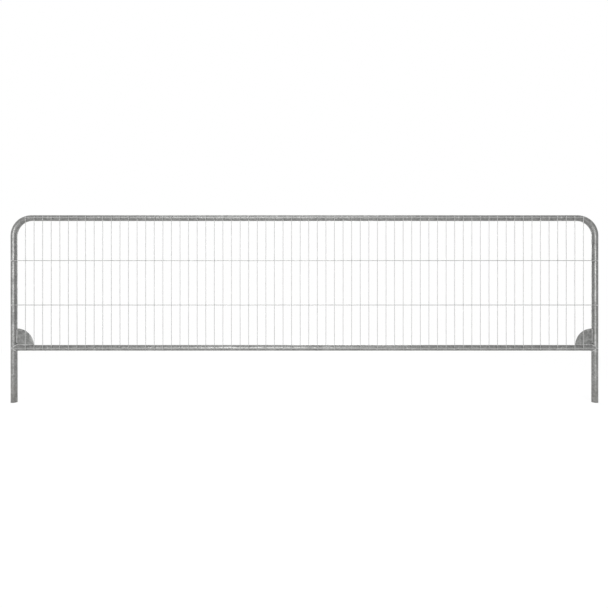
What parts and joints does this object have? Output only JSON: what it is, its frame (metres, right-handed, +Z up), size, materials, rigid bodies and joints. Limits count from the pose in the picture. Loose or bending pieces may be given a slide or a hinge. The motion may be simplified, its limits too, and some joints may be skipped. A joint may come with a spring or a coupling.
{
  "type": "mesh fence panel",
  "caption": "Low round-top site fence panel: one bent tube frame with open legs, a bottom rail, quarter-round corner plates and a welded wire mesh on its front.",
  "frame": {"origin": "centre of the left post's lower end, on the plane that both posts stand on", "axes": "+X along the panel from the left post to the right one, +Y from the mesh side to the back, +Z up the posts"},
  "size_m": [3.4501, 0.0405, 1.1],
  "materials": {
    "galvanised_tube": "hot-dip galvanised, spangled, slightly dull",
    "galvanised_plate": "hot-dip galvanised, mottled",
    "galvanised_wire": "bright galvanised wire",
    "galvanised_weld": "rippled weld under zinc"
  },
  "bodies": {
    "root": {"left_post": "galvanised_tube", "left_bend": "galvanised_tube", "top_rail": "galvanised_tube", "right_bend": "galvanised_tube", "right_post": "galvanised_tube", "bottom_rail": "galvanised_tube", "left_gusset": "galvanised_plate", "right_gusset": "galvanised_plate", "wire_mesh": "galvanised_wire", "left_rail_weld": "galvanised_weld", "right_rail_weld": "galvanised_weld", "left_gusset_welds": "galvanised_weld", "right_gusset_welds": "galvanised_weld"}
  },
  "joints": []
}
